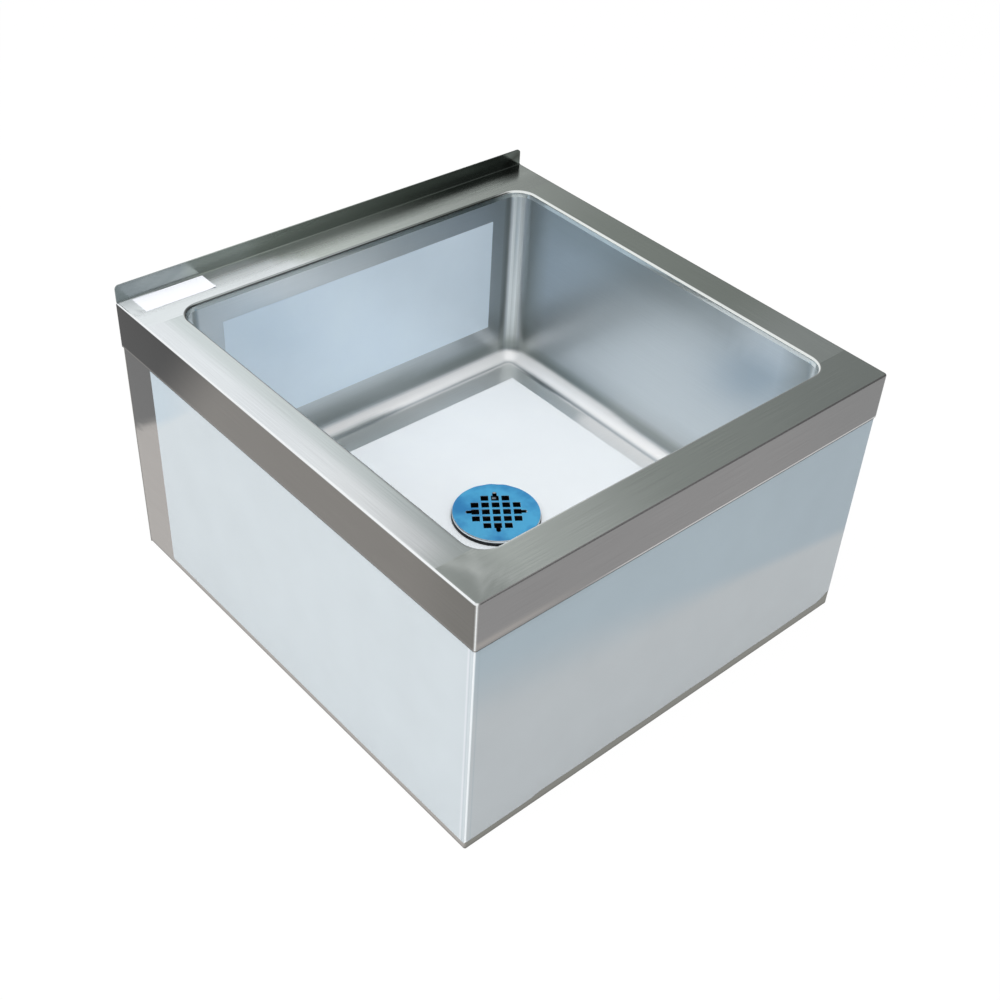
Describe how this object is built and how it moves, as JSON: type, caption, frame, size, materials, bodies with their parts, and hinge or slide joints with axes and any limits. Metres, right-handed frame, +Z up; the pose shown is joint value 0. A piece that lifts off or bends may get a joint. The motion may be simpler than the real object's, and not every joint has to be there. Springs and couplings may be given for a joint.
{
  "type": "mop service sink",
  "caption": "Floor-standing square stainless service sink with a deep coved bowl, turned-down apron, splash upturn, wrapped skirt and a lift-out round strainer over a clamped outlet.",
  "frame": {"origin": "on the floor, under the middle of the deck", "axes": "+Z up, +Y from the front to the back with the splash upturn, +X to the right along the front"},
  "size_m": [0.59, 0.61, 0.367],
  "materials": {
    "deck_steel": "brushed 304 stainless sheet, satin",
    "skirt_steel": "brushed 304 stainless sheet, satin",
    "bowl_steel": "brushed 304 stainless sheet with polished coves and welds",
    "bright_steel": "bright polished stainless",
    "clear_film": "pale protective film, soft gloss",
    "blue_film": "blue protective film",
    "label_paper": "blank white sticker",
    "black_abs": "moulded black ABS",
    "black_rubber": "black rubber",
    "grey_fibre": "pressed fibre"
  },
  "bodies": {
    "sink": {"rim_deck": "deck_steel", "skirt_wrap": "skirt_steel", "back_panel": "skirt_steel", "bowl_wrap": "bowl_steel", "bowl_left_end": "bowl_steel", "bowl_right_end": "bowl_steel", "front_stiffener": "skirt_steel", "back_stiffener": "skirt_steel", "outlet_body": "black_abs", "floor_seal": "black_rubber", "friction_washer": "grey_fibre", "locknut": "black_abs", "pipe_gasket": "black_rubber", "compression_nut": "black_abs", "skirt_film": "clear_film", "back_wall_film": "clear_film", "bowl_floor_film": "clear_film", "deck_label": "label_paper"},
    "strainer": {"strainer": "bright_steel", "strainer_film": "blue_film"}
  },
  "joints": [
    {"name": "strainer_lift", "type": "slide", "parent": "sink", "child": "strainer", "axis": [0, 0, 1], "range_m": [0, 0.3]}
  ]
}
